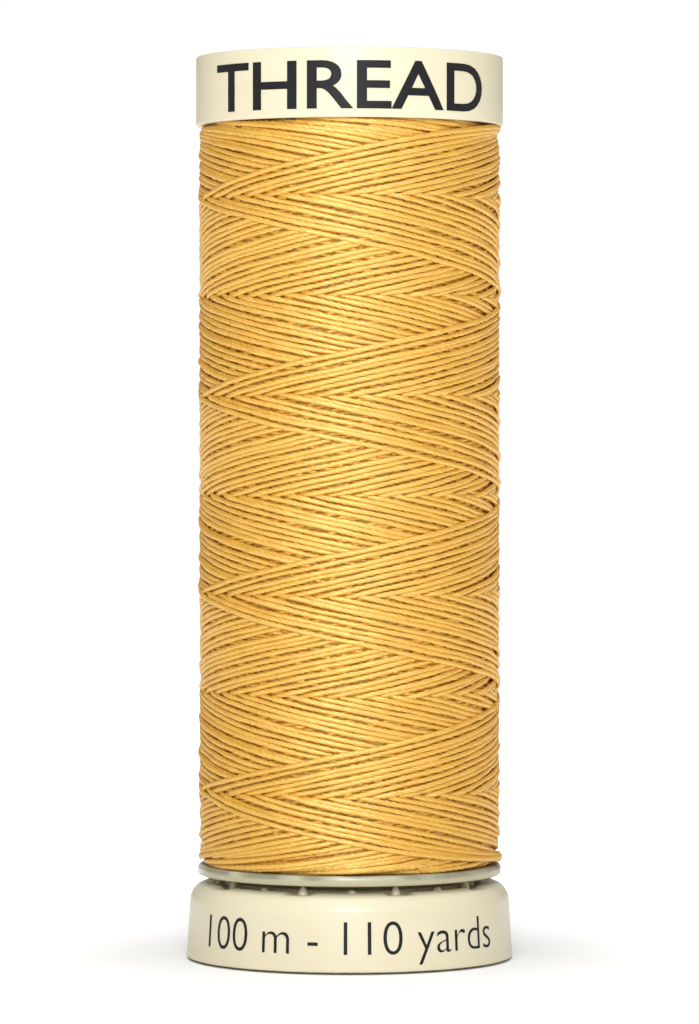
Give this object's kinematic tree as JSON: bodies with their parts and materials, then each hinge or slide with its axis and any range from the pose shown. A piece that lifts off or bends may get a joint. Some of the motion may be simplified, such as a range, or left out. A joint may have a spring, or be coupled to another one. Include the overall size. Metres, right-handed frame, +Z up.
{
  "type": "spool of thread",
  "caption": "Slim plastic spool wound with sewing thread, with a head cap, a hole for the machine's pin and a toothed foot that pulls down to trap the thread's end.",
  "frame": {"origin": "centre of the foot's base ring, on the surface the spool stands on", "axes": "+Z up along the spool's axis, -Y towards the front, where a short tooth of the foot stands nearly in the middle"},
  "size_m": [0.02, 0.02, 0.0555],
  "materials": {
    "cream_plastic": "moulded polystyrene, cream, soft sheen",
    "natural_plastic": "unpigmented moulded plastic, slightly see-through",
    "thread": "spun polyester sewing thread, mustard yellow, cross-wound",
    "label_paper": "plain coated paper"
  },
  "bodies": {
    "foot": {"foot_shell": "cream_plastic", "foot_pin_sleeve": "cream_plastic", "foot_ribs": "cream_plastic", "seat_ring": "cream_plastic", "snap_fingers": "cream_plastic", "tall_teeth": "cream_plastic", "short_teeth": "cream_plastic"},
    "spool": {"barrel_tube": "natural_plastic", "lower_flange": "natural_plastic", "upper_flange": "natural_plastic", "barrel_keys": "natural_plastic", "head_cap": "cream_plastic", "head_spigot": "cream_plastic", "head_pin_sleeve": "cream_plastic", "head_label": "label_paper", "thread_winding": "thread"}
  },
  "joints": [
    {"name": "foot_slide", "type": "slide", "parent": "foot", "child": "spool", "axis": [0, 0, 1], "range_m": [0, 0.0025]}
  ]
}
